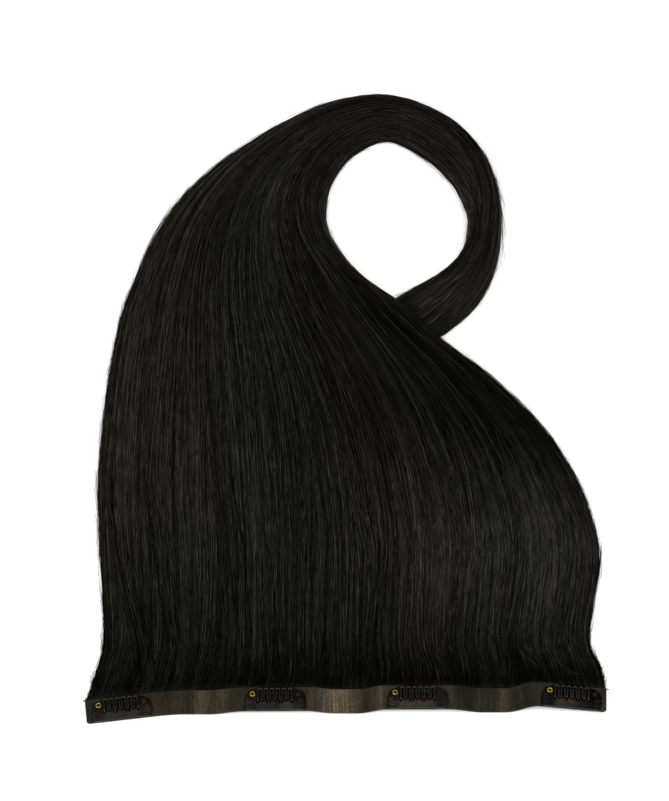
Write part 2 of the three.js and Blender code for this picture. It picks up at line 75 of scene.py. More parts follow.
# Snap clip.
CLIP_LENGTH = 28.0
CLIP_END_MARGIN = 2.3
SHEET = 0.5
LOWER_LAYER_TOP = 0.6  # a face whose middle is lower than this is on the lower layer
CREASE_RISE = 0.4
BAR_HEIGHT = 3.2
SIDE_HEIGHT = 9.8
UNDERLAY_REACH = 0.35
SEAT_GAP = 0.3
RUNNING_GAP = 0.4
COMB_SIDE_GAP = 0.4
PRONG_COUNT = 6
PRONG_GAP = 0.52
WIRE_WIDTH = 0.62
COMB_WIDTH = 16.2
COMB_HEIGHT = 10.8
PRONG_REACH = 6.1
PRONG_BOW = 0.5
STEM_WIDTH = 0.8
EYELET_PLACE = 0.33
EYELET_HEIGHT = 7.7
EYELET_BORE_RADIUS = 0.62
EYELET_FLANGE_RADIUS = 1.38
EYELET_FLANGE_HEIGHT = 0.36
# Radii and heights of the rim pressed round each sewing hole.
RIM_PROFILE = ((0.54, 0.0), (0.58, 0.12), (0.7, 0.16), (0.82, 0.11), (0.9, -0.02), (0.72, -0.05))
EASED_EDGE = 0.07
WIRE_ROUND = 0.11
THREAD_RADIUS = 0.15
# Thickness of the black sheet of painted shade behind each comb.
SHADE_SHEET_THICKNESS = 0.2

# Hair.
HAIR_REACH = 341.0
HAIR_THICKNESS = 9.0
HAIR_EDGE = 0.35
TAIL_LIFT = 8.5
LIFT_STARTS = 0.45
LIFT_ENDS = 0.72
ROOT_FADE = 3.0
LENS_POWER = 0.45
ROOT_TUCK = 0.5  # how far the roots run into the band
TOP_SHARE = 0.64  # how much of the mass's girth lies on top
STRAND_SINK = 0.6  # how deep a strand's ends lie in the mass
RUN_APART = 97.0  # how far on in the streak noise each strand starts after the one before

HALF = BAND_LENGTH / 2
CLIP_HALF = CLIP_LENGTH / 2
INNER = COMB_WIDTH / 2 + COMB_SIDE_GAP
SIDE_WIDTH = CLIP_HALF - INNER
FOOT_LINE = BAR_HEIGHT + RUNNING_GAP
HINGE_LINE = BAR_HEIGHT + RUNNING_GAP / 2
HINGE_RISE = 1.5 * SHEET + CREASE_RISE / 2
EYELET_X = -(INNER + EYELET_PLACE * SIDE_WIDTH)

# Each clip's place along the band, and the band's sway and lift at the clip's two ends.
CLIP_SEATS = (
    (-1.0, -0.98, -0.28, 0.0, 0.0),
    (-0.274, 0.05, 0.08, 0.46, 0.46),
    (0.274, 0.14, 0.16, 0.68, 0.68),
    (1.0, 0.34, 0.08, 1.0, 0.06),
)
# The band's sway between one clip and the next, where it lies level.
REST_SWAY = (-0.08, 0.0, 0.1)

# Sections across the hair, roots to tips: left x, left y, right x, right y, thickness, lift.
HAIR_ROWS = np.array(
    [
        (-1.0, 0.018, 1.0, 0.018, 0.1, 0),
        (-0.985, 0.027, 0.994, 0.027, 0.13, 0),
        (-0.964, 0.05, 0.983, 0.05, 0.26, 0),
        (-0.942, 0.087, 0.946, 0.087, 0.38, 0),
        (-0.956, 0.159, 0.971, 0.149, 0.5, 0),
        (-0.978, 0.251, 1.003, 0.215, 0.58, 0),
        (-0.993, 0.333, 0.98, 0.282, 0.62, 0),
        (-0.985, 0.423, 0.915, 0.349, 0.66, 0),
        (-0.966, 0.513, 0.8, 0.423, 0.7, 0.1),
        (-0.927, 0.608, 0.613, 0.492, 0.75, 0.65),
        (-0.869, 0.685, 0.42, 0.548, 0.8, 1),
        (-0.788, 0.762, 0.234, 0.616, 0.85, 1),
        (-0.676, 0.826, 0.073, 0.667, 0.9, 0.7),
        (-0.569, 0.869, -0.029, 0.723, 0.95, 0.25),
        (-0.438, 0.91, -0.08, 0.777, 1, 0),
        (-0.268, 0.953, -0.06, 0.84, 1, 0),
        (-0.062, 0.99, 0.034, 0.894, 1, 0),
        (0.185, 1.002, 0.18, 0.921, 1, 0),
        (0.403, 0.972, 0.331, 0.892, 1, 0),
        (0.558, 0.917, 0.441, 0.85, 1.05, 0),
        (0.631, 0.859, 0.503, 0.803, 1.15, 0),
        (0.66, 0.791, 0.515, 0.764, 1.2, 0),
        (0.635, 0.705, 0.487, 0.72, 1.15, 0),
        (0.577, 0.649, 0.401, 0.685, 1, 0),
        (0.514, 0.616, 0.292, 0.66, 0.85, 0),
        (0.409, 0.582, 0.178, 0.633, 0.68, 0),
        (0.292, 0.554, 0.073, 0.597, 0.5, 0),
        (0.197, 0.536, 0.007, 0.569, 0.25, 0),
    ]
)
LAST_ROW = len(HAIR_ROWS) - 1
LEFT_X, LEFT_Y, RIGHT_X, RIGHT_Y, THICK, LIFT = range(6)

# Sewing holes: side, place across and up the plate, and how far each stitch runs out of it.
SEWING_HOLES = (
    (-1, 0.68, 0.52, 1.9, 0.2),
    (-1, 0.555, 0.23, 2.3, -0.3),
    (1, 0.4, 0.775, 2.1, 1.5),
    (1, 0.6, 0.46, 2.3, 0.1),
    (1, 0.43, 0.17, 2.6, -0.2),
)

# Hair counts. Each piece of strands stays under 200,000 triangles.
MASS_AROUND = 150
MASS_ALONG = 300
FALL_STRANDS = 1400
FALL_POINTS = 20
LOOP_STRANDS = 560
LOOP_POINTS = 40
FUZZ_STRANDS = 850
STRAY_STRANDS = 160
STRAND_SIDES = 3

# Locks that leave the even flow: first row, last row, share across at each, half width at
# each, how high they arch, strands and how much lighter they are.
FALL_LOCKS = (
    (0.6, 6.0, 0.11, 0.03, 0.026, 0.014, 0.9, 36, 0.05),
    (1.2, 7.5, 0.16, 0.1, 0.024, 0.018, 0.7, 34, 0.06),
    (0.4, 5.4, 0.2, 0.225, 0.022, 0.028, 1.0, 36, 0.08),
    (2.2, 9.0, 0.28, 0.23, 0.026, 0.03, 0.8, 34, 0.0),
    (0.5, 5.2, 0.36, 0.335, 0.02, 0.024, 1.0, 34, 0.06),
    (2.6, 8.6, 0.4, 0.43, 0.022, 0.03, 0.6, 30, 0.0),
    (0.5, 5.0, 0.53, 0.555, 0.022, 0.028, 0.9, 34, 0.02),
    (3.2, 9.5, 0.55, 0.5, 0.024, 0.03, 0.7, 32, 0.02),
    (0.6, 5.4, 0.67, 0.645, 0.02, 0.024, 0.9, 34, 0.06),
    (2.0, 8.8, 0.73, 0.77, 0.026, 0.03, 0.7, 34, 0.08),
    (0.5, 4.8, 0.81, 0.84, 0.02, 0.024, 1.0, 34, 0.06),
    (1.0, 6.6, 0.93, 0.955, 0.022, 0.014, 0.8, 34, 0.08),
    (5.0, 11.5, 0.12, 0.16, 0.03, 0.03, 0.6, 28, 0.04),
    (5.5, 12.0, 0.61, 0.55, 0.03, 0.04, 0.6, 28, 0.0),
    (5.2, 11.8, 0.88, 0.83, 0.03, 0.04, 0.6, 28, 0.0),
    (6.0, 12.5, 0.33, 0.37, 0.03, 0.04, 0.6, 28, 0.02),
)
LOOP_LOCKS = (
    (9.5, 17.5, 0.3, 0.5, 0.05, 0.06, 0.7, 34, 0.1),
    (11.0, 19.0, 0.75, 0.55, 0.05, 0.06, 0.7, 34, 0.05),
    (12.5, 20.5, 0.12, 0.34, 0.05, 0.06, 0.8, 34, 0.0),
    (13.5, 21.5, 0.9, 0.62, 0.04, 0.07, 0.9, 38, 0.12),
    (14.5, 22.4, 0.62, 0.86, 0.06, 0.06, 0.9, 34, 0.14),
    (16.5, 23.6, 0.2, 0.7, 0.05, 0.08, 1.4, 44, 0.12),
    (17.6, 24.4, 0.06, 0.5, 0.04, 0.08, 1.6, 44, 0.02),
    (18.2, 24.6, 0.4, 0.9, 0.06, 0.05, 1.2, 38, 0.08),
    (18.8, 24.8, 0.9, 0.38, 0.04, 0.07, 0.9, 34, 0.04),
    (19.4, 25.2, 0.66, 0.2, 0.05, 0.07, 0.8, 34, 0.1),
)
# Where locks part near the roots: share across, half width, depth, deepest row and last row.
PARTINGS = (
    (0.07, 0.012, 1.2, 1.8, 5.5),
    (0.19, 0.014, 1.0, 1.6, 6.0),
    (0.335, 0.01, 0.9, 2.0, 5.0),
    (0.47, 0.016, 1.2, 1.6, 6.5),
    (0.61, 0.012, 0.9, 1.8, 5.5),
    (0.74, 0.015, 1.2, 1.6, 6.0),
    (0.9, 0.012, 1.1, 1.8, 5.5),
)
# Broad light and shade painted into the hair's tone: row and share at the middle, half widths, strength.
HAIR_PAINTED_LIGHT_AND_SHADE = (
    (6.5, 0.03, 2.8, 0.2, 0.16),
    (10.0, 0.15, 4.0, 0.4, 0.09),
    (5.2, 0.8, 2.2, 0.36, 0.27),
    (9.0, 1.0, 2.0, 0.36, -0.6),
    (13.8, 0.6, 2.2, 0.5, 0.06),
    (16.6, 0.4, 1.8, 0.7, -0.28),
    (18.8, 0.0, 4.0, 0.18, -0.3),
    (20.3, 0.55, 1.8, 0.4, 0.1),
    (22.5, 1.0, 1.5, 0.4, -0.16),
    (0.5, 0.5, 2.2, 0.9, -0.5),
    (7.0, 0.62, 2.0, 0.2, -0.08),
)
# Painted sheen on the band's skin, standing in for highlights where the band bends: place along it, half
# width and strength.
BAND_PAINTED_SHEEN = (
    (-67.4, 4.0, 0.4),
    (-57.3, 4.5, 0.34),
    (-4.0, 12.0, 1.0),
    (16.0, 3.5, 0.42),
    (72.0, 3.0, 0.3),
)


# Paths and surfaces


def smooth_step(low, high, value):
    share = np.clip((value - low) / (high - low), 0, 1)
    return share * share * (3 - 2 * share)


def clip_centre(place):
    outermost = HALF - CLIP_END_MARGIN - CLIP_HALF
    return place * (outermost if abs(place) == 1 else HALF)


def band_knots():
    """Rows of x, sway, lift and their slopes along the band."""
    knots = []
    reach = CLIP_HALF + UNDERLAY_REACH + SEAT_GAP
    for index, (place, sway_left, sway_right, lift_left, lift_right) in enumerate(CLIP_SEATS):
        centre = clip_centre(place)
        left = -HALF if place == -1 else centre - reach
        right = HALF if place == 1 else centre + reach
        sway_slope = (sway_right - sway_left) * BAND_SWAY / (right - left)
        lift_slope = (lift_right - lift_left) * BAND_WAVE / (right - left)
        knots.append((left, sway_left * BAND_SWAY, lift_left * BAND_WAVE, sway_slope, lift_slope))
        knots.append((right, sway_right * BAND_SWAY, lift_right * BAND_WAVE, sway_slope, lift_slope))
        if index < len(REST_SWAY):
            middle = (centre + clip_centre(CLIP_SEATS[index + 1][0])) / 2
            sway = REST_SWAY[index] * BAND_SWAY
            knots.append((middle - BAND_REST / 2, sway, 0, 0, 0))
            knots.append((middle + BAND_REST / 2, sway, 0, 0, 0))
    return np.array(knots)


KNOTS = band_knots()


def hermite(start, end, slope_start, slope_end, run, share):
    square, cube = share * share, share * share * share
    value = (
        (2 * cube - 3 * square + 1) * start
        + (cube - 2 * square + share) * run * slope_start
        + (3 * square - 2 * cube) * end
        + (cube - square) * run * slope_end
    )
    slope = (
        (6 * square - 6 * share) * (start - end) / run
        + (3 * square - 4 * share + 1) * slope_start
        + (3 * square - 2 * share) * slope_end
    )
    return value, slope


def unit(vectors):
    return vectors / np.linalg.norm(vectors, axis=-1, keepdims=True)


def band_point(x, across, out):
    """Points of the band: x along it, across from its middle towards the hair, out from below."""
    x, across, out = np.broadcast_arrays(
        np.asarray(x, float), np.asarray(across, float), np.asarray(out, float)
    )
    index = np.clip(np.searchsorted(KNOTS[:, 0], x, side="right") - 1, 0, len(KNOTS) - 2)
    start, end = KNOTS[index], KNOTS[index + 1]
    run = end[..., 0] - start[..., 0]
    share = (x - start[..., 0]) / run
    sway, sway_slope = hermite(start[..., 1], end[..., 1], start[..., 3], end[..., 3], run, share)
    lift, lift_slope = hermite(start[..., 2], end[..., 2], start[..., 4], end[..., 4], run, share)
    one, none = np.ones_like(x), np.zeros_like(x)
    along = unit(np.stack([one, sway_slope, lift_slope], -1))
    towards_hair = unit(np.stack([-sway_slope, one, none], -1))
    outwards = np.cross(along, towards_hair)
    centre = np.stack([x, sway, lift], -1)
    return centre + towards_hair * across[..., None] + outwards * out[..., None]


def part_origin():
    """Where the band's own middle lies in the part's frame, from the band's box."""
    x = np.linspace(-HALF, HALF, 2001)
    edges = np.concatenate([band_point(x, side * BAND_HEIGHT / 2, 0) for side in (-1, 1)])
    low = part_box("weft_band")[0] / MM
    return np.array([low.x - edges[:, 0].min(), low.y - edges[:, 1].min(), 0.0])


ORIGIN = part_origin()


def row_values(row):
    """The hair's section table read at a place between its rows, by a smooth curve."""
    index = np.clip(np.floor(row).astype(int), 0, LAST_ROW - 1)
    share = (row - index)[..., None]
    before = HAIR_ROWS[np.maximum(index - 1, 0)]
    here, after = HAIR_ROWS[index], HAIR_ROWS[index + 1]
    beyond = HAIR_ROWS[np.minimum(index + 2, LAST_ROW)]
    return hermite(here, after, (after - before) / 2, (beyond - here) / 2, 1, share)[0]


def value_noise(seed, across, along, row, share):
    """Smooth noise in -1 to 1, with this many waves across the hair and along it."""
    table = np.random.default_rng(seed).uniform(-1, 1, (along + 3, across + 3))
    y, x = np.clip(row / LAST_ROW, 0, 1) * along, np.clip(share, 0, 1) * across
    j, i = np.floor(y).astype(int), np.floor(x).astype(int)
    v, u = smooth_step(0, 1, y - j), smooth_step(0, 1, x - i)
    low = table[j, i] * (1 - u) + table[j, i + 1] * u
    high = table[j + 1, i] * (1 - u) + table[j + 1, i + 1] * u
    return low * (1 - v) + high * v


def lock_relief(row, share):
    """Height of the locks over the hair's even surface."""
    let_go = smooth_step(0.2, 3.5, row) * smooth_step(0, 3, LAST_ROW - row)
    wide = value_noise(11, 13, 4, row, share) * 0.75
    middling = value_noise(12, 34, 5, row, share) * 0.4
    fine = value_noise(13, 90, 6, row, share) * 0.16
    relief = (wide + middling + fine) * let_go
    partings = 0.0
    for place, width, depth, deepest, last in PARTINGS:
        notch = np.exp(-(((share - place) / width) ** 2))
        partings = partings + depth * notch * smooth_step(0.3, deepest, row) * (
            1 - smooth_step(deepest, last, row)
        )
    return relief - partings


def hair_section(row, share):
    """Underside point and full thickness of the hair at a row and a share across it."""
    values = row_values(row)
    across_x = values[..., LEFT_X] + (values[..., RIGHT_X] - values[..., LEFT_X]) * share
    across_y = values[..., LEFT_Y] + (values[..., RIGHT_Y] - values[..., LEFT_Y]) * share
    rise = np.maximum(values[..., LIFT], 0) * TAIL_LIFT * smooth_step(LIFT_STARTS, LIFT_ENDS, share)
    point = np.stack([across_x * HALF, across_y * HAIR_REACH, rise], -1)
    hold = 1 - smooth_step(0, ROOT_FADE, row)
    x = -HALF + 2 * HALF * share
    root = band_point(x, BAND_HEIGHT / 2 - ROOT_TUCK, 0)
    start = np.stack([x, np.full_like(x, HAIR_ROWS[0, LEFT_Y] * HAIR_REACH), np.zeros_like(x)], -1)
    point = point + (root - start) * hold[..., None]
    lens = np.clip(4 * share * (1 - share), 0, 1) ** LENS_POWER
    thickness = values[..., THICK] * HAIR_THICKNESS
    edge = np.minimum(HAIR_EDGE, thickness)
    return point, edge + (thickness - edge) * lens


def hair_surface(row, share, height):
    """Points over the hair's top, or in it: height is above the locks, in millimetres."""
    point, full = hair_section(row, share)
    room = np.clip(4 * share * (1 - share) * 6, 0, 1)
    top = full + lock_relief(row, share) * room
    point[..., 2] += np.maximum(top, 0.15) + height
    return point


def outward_at(row, left):
    """Unit vector out of the hair's left or right edge, in plan."""
    values = row_values(row)
    span = np.stack(
        [
            (values[..., LEFT_X] - values[..., RIGHT_X]) * HALF,
            (values[..., LEFT_Y] - values[..., RIGHT_Y]) * HAIR_REACH,
            np.zeros_like(row),
        ],
        -1,
    )
    return unit(span) * (1 if left else -1)


# Meshes


def add_object(name, data):
    made = bpy.data.objects.new(name, data)
    bpy.context.scene.collection.objects.link(made)
    return made


def finish_piece(name, mesh, material, body):
    mesh.shade_smooth()
    mesh.materials.append(material)
    piece = add_object(name, mesh)
    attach(piece, body)
    return piece


def sleeve(bm, along, around, place):
    """Adds a closed tube to bm: a grid rolled up, with its seam merged and its ends filled.

    place gets the shares along and around the tube and returns points in millimetres.
    """
    made = bmesh.ops.create_grid(bm, x_segments=around, y_segments=along, size=0.5, calc_uvs=True)
    verts = made["verts"]
    grid = np.array([v.co[:] for v in verts])
    points = (place(grid[:, 1] + 0.5, grid[:, 0] + 0.5) + ORIGIN) * MM
    for vert, point in zip(verts, points):
        vert.co = point
    seam = [v for v, g in zip(verts, grid) if abs(abs(g[0]) - 0.5) < 1e-4]
    ends = [v for v, g in zip(verts, grid) if abs(abs(g[1]) - 0.5) < 1e-4]
    bmesh.ops.remove_doubles(bm, verts=seam, dist=1e-7)
    open_edges = {e for v in ends if v.is_valid for e in v.link_edges if e.is_boundary}
    bmesh.ops.holes_fill(bm, edges=list(open_edges), sides=0)


def new_mesh(name, bm):
    bmesh.ops.recalc_face_normals(bm, faces=bm.faces)
    mesh = bpy.data.meshes.new(name)
    bm.to_mesh(mesh)
    bm.free()
    return mesh


def rounded_box(share, width, height, radius, steps=3):
    """Points round a rectangle with rounded corners, as two arrays: sideways and up."""
    corners = []
    for turn, (x, y) in enumerate(((1, 1), (-1, 1), (-1, -1), (1, -1))):
        for step in range(steps):
            angle = math.pi / 2 * (turn + step / (steps - 1))
            corners.append(
                (
                    x * (width / 2 - radius) + radius * math.cos(angle),
                    y * (height / 2 - radius) + radius * math.sin(angle),
                )
            )
    corners = np.array(corners + corners[:1])
    place = np.linspace(0, 1, len(corners))
    return np.interp(share, place, corners[:, 0]), np.interp(share, place, corners[:, 1])


def spun_ring(bm, profile, steps, clip, x, y, z):
    """Adds a ring to bm: a closed profile of radius and height, spun about a point of the clip."""
    others = set(bm.verts)
    ring = [bm.verts.new((radius, 0, height)) for radius, height in profile]
    edges = [bm.edges.new(pair) for pair in zip(ring, ring[1:] + ring[:1])]
    axis = {"cent": (0, 0, 0), "axis": (0, 0, 1), "angle": 2 * math.pi}
    bmesh.ops.spin(bm, geom=ring + edges, steps=steps, use_merge=True, **axis)
    made = [v for v in bm.verts if v not in others]
    bmesh.ops.remove_doubles(bm, verts=made, dist=1e-4)
    made = [v for v in bm.verts if v not in others]
    local = np.array([v.co[:] for v in made]) + np.array([x, y, z])
    for vert, point in zip(made, (clip.flat(local) + ORIGIN) * MM):
        vert.co = point
    faces = {face for vert in made for face in vert.link_faces}
    bmesh.ops.recalc_face_normals(bm, faces=list(faces))


# Materials


class Finish:
    """A node material with a few short ways to add and join its nodes."""

    def __init__(self, name):
        self.material = bpy.data.materials.new(name)
        self.material.use_nodes = True
        self.tree = self.material.node_tree
        self.shader = self.tree.nodes["Principled BSDF"]

    def node(self, kind, **settings):
        made = self.tree.nodes.new(kind)
        for name, value in settings.items():
            setattr(made, name, value)
        return made

    def join(self, source, target):
        self.tree.links.new(source, target)

    def colour(self, source):
        self.join(source, self.shader.inputs["Base Color"])

    def roughness(self, factor, low, high):
        self.join(self.spread(factor, low, high), self.shader.inputs["Roughness"])

    def set(self, **values):
        for name, value in values.items():
            self.shader.inputs[name.replace("_", " ")].default_value = value

    def coordinates(self, kind="Object", scale=(1, 1, 1)):
        source = self.node("ShaderNodeTexCoord").outputs[kind]
        mapping = self.node("ShaderNodeMapping")
        mapping.inputs["Scale"].default_value = scale
        self.join(source, mapping.inputs["Vector"])
        return mapping.outputs["Vector"]

    def attribute(self, name):
        return self.node("ShaderNodeAttribute", attribute_name=name).outputs["Fac"]

    def places(self):
        """A clip's own places: the distance off its middle and the height, as shares."""
        made = self.node("ShaderNodeSeparateXYZ")
        self.join(self.coordinates("UV"), made.inputs["Vector"])
        return made.outputs["X"], made.outputs["Y"]

    def noise(self, vector, scale, detail=3.0, roughness=0.5):
        made = self.node("ShaderNodeTexNoise")
        made.inputs["Scale"].default_value = scale
        made.inputs["Detail"].default_value = detail
        made.inputs["Roughness"].default_value = roughness
        self.join(vector, made.inputs["Vector"])
        return made.outputs["Fac"]

    def ramp(self, factor, *stops):
        """A colour ramp. A stop is a place and a colour, or a single number for a grey."""
        made = self.node("ShaderNodeValToRGB")
        elements = made.color_ramp.elements
        while len(elements) < len(stops):
            elements.new(0.5)
        for element, (place, colour) in zip(elements, stops):
            element.position = place
            element.color = (*colour, 1) if isinstance(colour, tuple) else (colour, colour, colour, 1)
        self.join(factor, made.inputs["Fac"])
        return made.outputs["Color"]

    def mix(self, blend, first, second):
        made = self.node("ShaderNodeMix", data_type="RGBA", blend_type=blend)
        made.inputs[0].default_value = 1.0
        self.join(first, made.inputs[6])
        self.join(second, made.inputs[7])
        return made.outputs[2]

    def times(self, product, *colours):
        for colour in colours:
            product = self.mix("MULTIPLY", product, colour)
        return product

    def spread(self, factor, low, high):
        made = self.node("ShaderNodeMapRange")
        made.inputs["To Min"].default_value = low
        made.inputs["To Max"].default_value = high
        self.join(factor, made.inputs["Value"])
        return made.outputs["Result"]

    def soften_edges(self, gloss, share=None):
        """Gloss that fades where a surface turns away from the eye."""
        facing = self.node("ShaderNodeLayerWeight")
        facing.inputs["Blend"].default_value = 0.35
        fade = self.spread(facing.outputs["Facing"], gloss, 0.0)
        if share:
            product = self.node("ShaderNodeMath", operation="MULTIPLY")
            self.join(fade, product.inputs[0])
            self.join(share, product.inputs[1])
            fade = product.outputs[0]
        self.join(fade, self.shader.inputs["Specular IOR Level"])

    def bump(self, height, strength, distance):
        made = self.node("ShaderNodeBump")
        made.inputs["Strength"].default_value = strength
        made.inputs["Distance"].default_value = distance * MM
        self.join(height, made.inputs["Height"])
        self.join(made.outputs["Normal"], self.shader.inputs["Normal"])


def hair_body_finish():
    """Near-black silk, darkened as painted shade for the gaps between the strands: grooves that run with
    the flow.
    """
    f = Finish("silky_hair_body")
    f.set(Specular_IOR_Level=0.05)
    streaks = f.noise(f.coordinates("UV", (520, 5, 1)), 1.0, 2.0, 0.6)
    clumps = f.noise(f.coordinates("UV", (60, 2.2, 1)), 1.0, 3.0, 0.55)
    fine = f.ramp(streaks, (0.35, (0.0018, 0.0018, 0.0013)), (0.7, (0.0062, 0.006, 0.0049)))
    deep = f.ramp(clumps, (0.3, 0.4), (0.7, 1))
    f.colour(f.times(fine, deep))
    f.roughness(clumps, 0.4, 0.55)
    f.bump(streaks, 0.5, 0.25)
    return f.material


def hair_strand_finish():
    """Each strand's tone, which holds painted light and shade, and its warmth, uneven from place to place
    and streaked along its length.
    """
    f = Finish("silky_hair_strand")
    f.set(Specular_IOR_Level=0.24)
    tone = f.attribute("tone")
    warmth = f.attribute("warmth")
    colour = f.ramp(
        tone,
        (0.1, (0.0007, 0.0008, 0.0004)),
        (0.45, (0.004, 0.0041, 0.0032)),
        (0.75, (0.0145, 0.0146, 0.0138)),
        (1.0, (0.04, 0.04, 0.0395)),
    )
    tint = f.ramp(warmth, (0.2, (0.96, 1.0, 0.88)), (0.8, (1.18, 0.98, 0.88)))
    uneven = f.noise(f.coordinates(), 160.0, 3.0)
    shade = f.ramp(uneven, (0.3, 0.78), (0.7, 1.08))
    grain = f.node("ShaderNodeTexNoise", noise_dimensions="1D")
    grain.inputs["Scale"].default_value = 0.1
    f.join(f.attribute("run"), grain.inputs["W"])
    fleck = f.ramp(grain.outputs["Fac"], (0.34, 0.42), (0.68, 1.85))
    f.colour(f.times(colour, tint, shade, fleck))
    f.roughness(uneven, 0.28, 0.44)
    f.soften_edges(0.14, f.spread(tone, 0.2, 1.7))
    return f.material


def urethane_finish():
    """Thin skin over black strands: olive brown, with strands showing through it, and a painted sheen where
    it bends.
    """
    f = Finish("urethane_skin")
    f.set(Specular_IOR_Level=0.16)
    strands = f.noise(f.coordinates("UV", (6, 380, 1)), 1.0, 2.5, 0.7)
    patches = f.noise(f.coordinates("UV", (5, 24, 1)), 1.0, 3.0, 0.55)
    skin = f.ramp(
        patches,
        (0.36, (0.0064, 0.0058, 0.0026)),
        (0.5, (0.0122, 0.011, 0.0055)),
        (0.66, (0.0225, 0.0192, 0.0112)),
    )
    # Painted sheen: the skin is made lighter where the band bends.
    lit = f.ramp(f.attribute("painted_sheen"), (0.0, 0), (1.0, (0.071, 0.056, 0.043)))
    skin = f.mix("ADD", skin, lit)
    dark = f.ramp(strands, (0.34, (0.42, 0.43, 0.38)), (0.64, (1.32, 1.3, 1.22)))
    speckle = f.noise(f.coordinates(), 800.0, 3.0, 0.6)
    mottle = f.ramp(speckle, (0.36, 0.7), (0.64, 1.3))
    f.colour(f.times(skin, mottle, dark))
    f.roughness(strands, 0.26, 0.46)
    f.bump(strands, 0.4, 0.1)
    return f.material


def clip_paint_finish():
    """Satin black paint on sheet steel, with painted reflection and shade: brightest on the bar, darker
    upwards and at the ends, in patches, and darkest on the lower layer.
    """
    f = Finish("black_clip_paint")
    f.set(Metallic=0.7, Specular_IOR_Level=0.5)
    haze = f.noise(f.coordinates(), 420.0, 4.0)
    bright = f.ramp(haze, (0.3, (0.033, 0.0285, 0.025)), (0.7, (0.054, 0.0465, 0.041)))
    off_middle, height = f.places()
    # Painted reflection: darker up the plates, away from the bar.
    rise = f.ramp(height, (0.3, 1), (0.46, (0.42, 0.44, 0.42)), (0.72, (0.16, 0.17, 0.15)))
    # Painted reflection: darker at the plate ends.
    ends = f.ramp(off_middle, (0.54, 1), (0.66, (0.4, 0.4, 0.38)))
    # Painted reflection in broad lighter and darker patches.
    painted_reflection_patches = f.ramp(f.noise(f.coordinates(), 55.0, 1.0), (0.42, 0.4), (0.58, (1.4, 1.37, 1.33)))
    # Painted shade on the lower layer, under the upper one and the comb.
    layer = f.ramp(f.attribute("under"), (0.4, 1), (0.6, (0.07, 0.07, 0.06)))
    f.colour(f.times(bright, rise, ends, painted_reflection_patches, layer))
    f.roughness(haze, 0.16, 0.26)
    f.soften_edges(0.3)
    f.bump(f.noise(f.coordinates(), 5200.0, 2.0), 0.12, 0.02)
    return f.material


def prong_finish():
    """The comb's darker paint, with a painted highlight at the tips."""
    f = Finish("black_prong_paint")
    haze = f.noise(f.coordinates(), 600.0, 4.0)
    colour = f.ramp(haze, (0.3, (0.0016, 0.0015, 0.001)), (0.7, (0.004, 0.0037, 0.0027)))
    _, height = f.places()
    # Painted highlight at the tips, added to the paint's colour.
    painted_tip_highlight = f.ramp(height, (0.86, 0), (0.97, (0.034, 0.028, 0.024)))
    f.colour(f.mix("ADD", colour, painted_tip_highlight))
    f.roughness(haze, 0.2, 0.34)
    f.soften_edges(0.2)
    f.bump(f.noise(f.coordinates(), 6000.0, 2.0), 0.1, 0.02)
    return f.material


def brass_finish():
    f = Finish("eyelet_brass")
    f.set(Metallic=1.0)
    tarnish = f.noise(f.coordinates(), 900.0, 4.0)
    f.colour(f.ramp(tarnish, (0.3, (0.34, 0.24, 0.03)), (0.65, (0.56, 0.41, 0.07))))
    f.roughness(tarnish, 0.24, 0.4)
    f.bump(f.noise(f.coordinates(), 7000.0, 2.0), 0.1, 0.02)
    return f.material


def thread_finish():
    f = Finish("sewing_thread")
    f.set(Specular_IOR_Level=0.3)
    twist = f.noise(f.coordinates(), 5000.0, 3.0)
    f.colour(f.ramp(twist, (0.35, (0.0015, 0.0015, 0.0013)), (0.7, (0.008, 0.0072, 0.006))))
    f.roughness(twist, 0.5, 0.8)
    f.bump(twist, 0.5, 0.05)
    return f.material


def shade_sheet_finish():
    """Dull black sheet: painted shade, not a part of the clip."""
    f = Finish("painted_shade_sheet")
    f.set(Specular_IOR_Level=0.05)
    # Fine noise in the colour and roughness of the painted shade sheet.
    weave = f.noise(f.coordinates(), 3500.0, 3.0)
    f.colour(f.ramp(weave, (0.35, (0.001, 0.001, 0.0008)), (0.7, (0.0035, 0.0033, 0.0026))))
    f.roughness(weave, 0.7, 0.95)
    f.bump(weave, 0.5, 0.05)
    return f.material


def floor_finish():
    f = Finish("pale_floor")
    f.set(Specular_IOR_Level=0.1)
    mottle = f.noise(f.coordinates(), 12.0, 3.0)
    f.colour(f.ramp(mottle, (0.3, 0.86), (0.7, 0.9)))
    f.roughness(mottle, 0.8, 0.95)
    f.set(Emission_Color=(1, 1, 1, 1), Emission_Strength=0.16)
    return f.material


# Hair


def hair_mass(material):
    def place(along, around):
        row = along * LAST_ROW
        on_top = around <= TOP_SHARE
        over = np.clip(around / TOP_SHARE, 0, 1)
        under = np.clip((1 - around) / (1 - TOP_SHARE), 0, 1)
        share = np.where(on_top, over, under)
        share = 0.72 * share + 0.28 * (1 - np.cos(math.pi * share)) / 2
        below, _ = hair_section(row, share)
        above = hair_surface(row, share, 0.0)
        return np.where(on_top[:, None], above, below)

    bm = bmesh.new()
    bm.loops.layers.uv.new("flow")
    sleeve(bm, MASS_ALONG, MASS_AROUND, place)
    piece = finish_piece("hair_mass", new_mesh("hair_mass", bm), material, "weft")
    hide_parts("hair")


